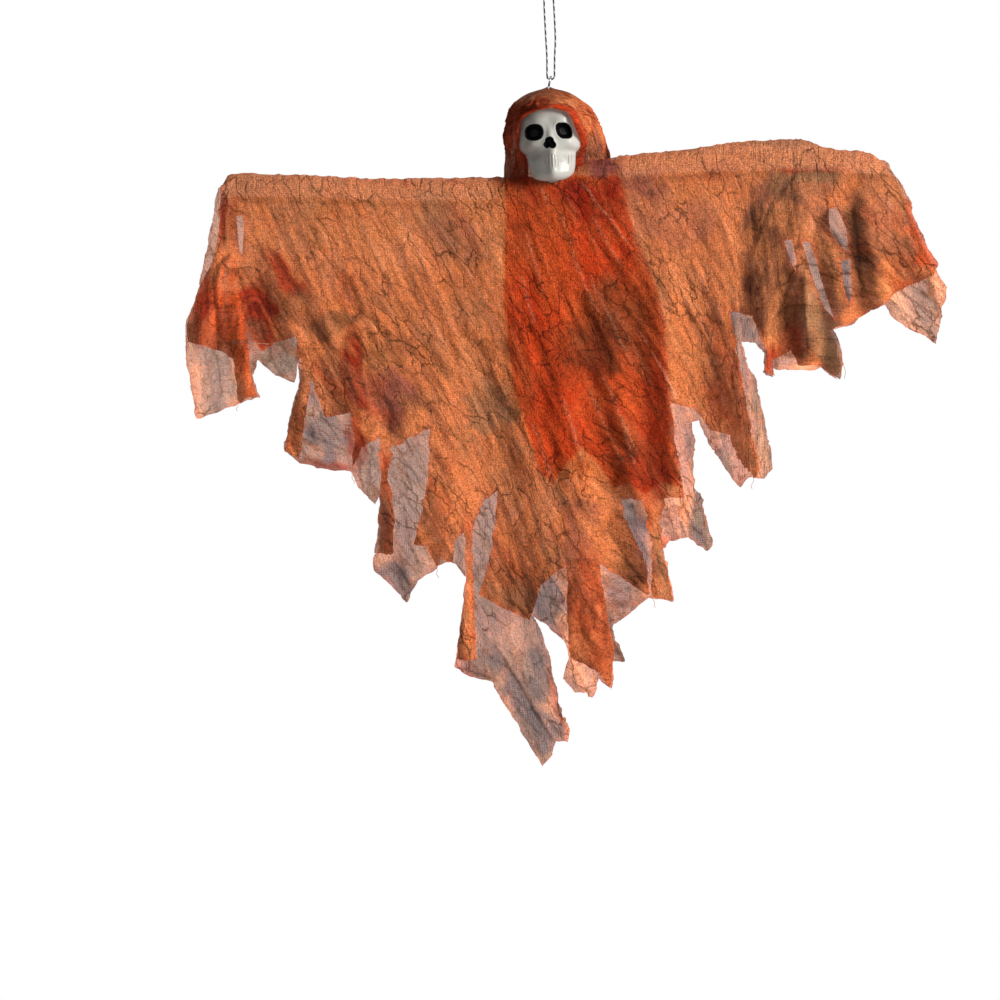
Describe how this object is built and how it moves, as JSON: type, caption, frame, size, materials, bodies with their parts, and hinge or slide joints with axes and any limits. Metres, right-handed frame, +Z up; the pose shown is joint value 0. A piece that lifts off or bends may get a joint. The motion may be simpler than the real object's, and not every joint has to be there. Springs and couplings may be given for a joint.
{
  "type": "hanging fabric ghost",
  "caption": "Small skull on a hanging cord with wire arms in tubes, a gauze hood and a torn gauze robe draped over both arms.",
  "frame": {"origin": "top of the hanging loop, right under the knot of the cord", "axes": "+Z up, -Y out of the face, +X to the right of someone who looks at the face"},
  "size_m": [0.4423, 0.0502, 0.4699],
  "materials": {
    "skull": "glossy moulded white with gloss black sockets",
    "screw_eye": "thin bright wire",
    "cord": "thin black twisted cord with pale flecks",
    "arm_wire": "plain steel wire",
    "arm_tube": "pale tube",
    "hood": "deep red-orange dyed gauze",
    "robe": "orange, red and brown dyed crinkled gauze"
  },
  "bodies": {
    "root": {"skull": "skull", "screw_eye": "screw_eye", "hanging_cord": "cord", "cord_knot": "cord", "arm_wire": "arm_wire", "arm_tube_left": "arm_tube", "arm_tube_right": "arm_tube", "hood": "hood", "robe": "robe"}
  },
  "joints": []
}
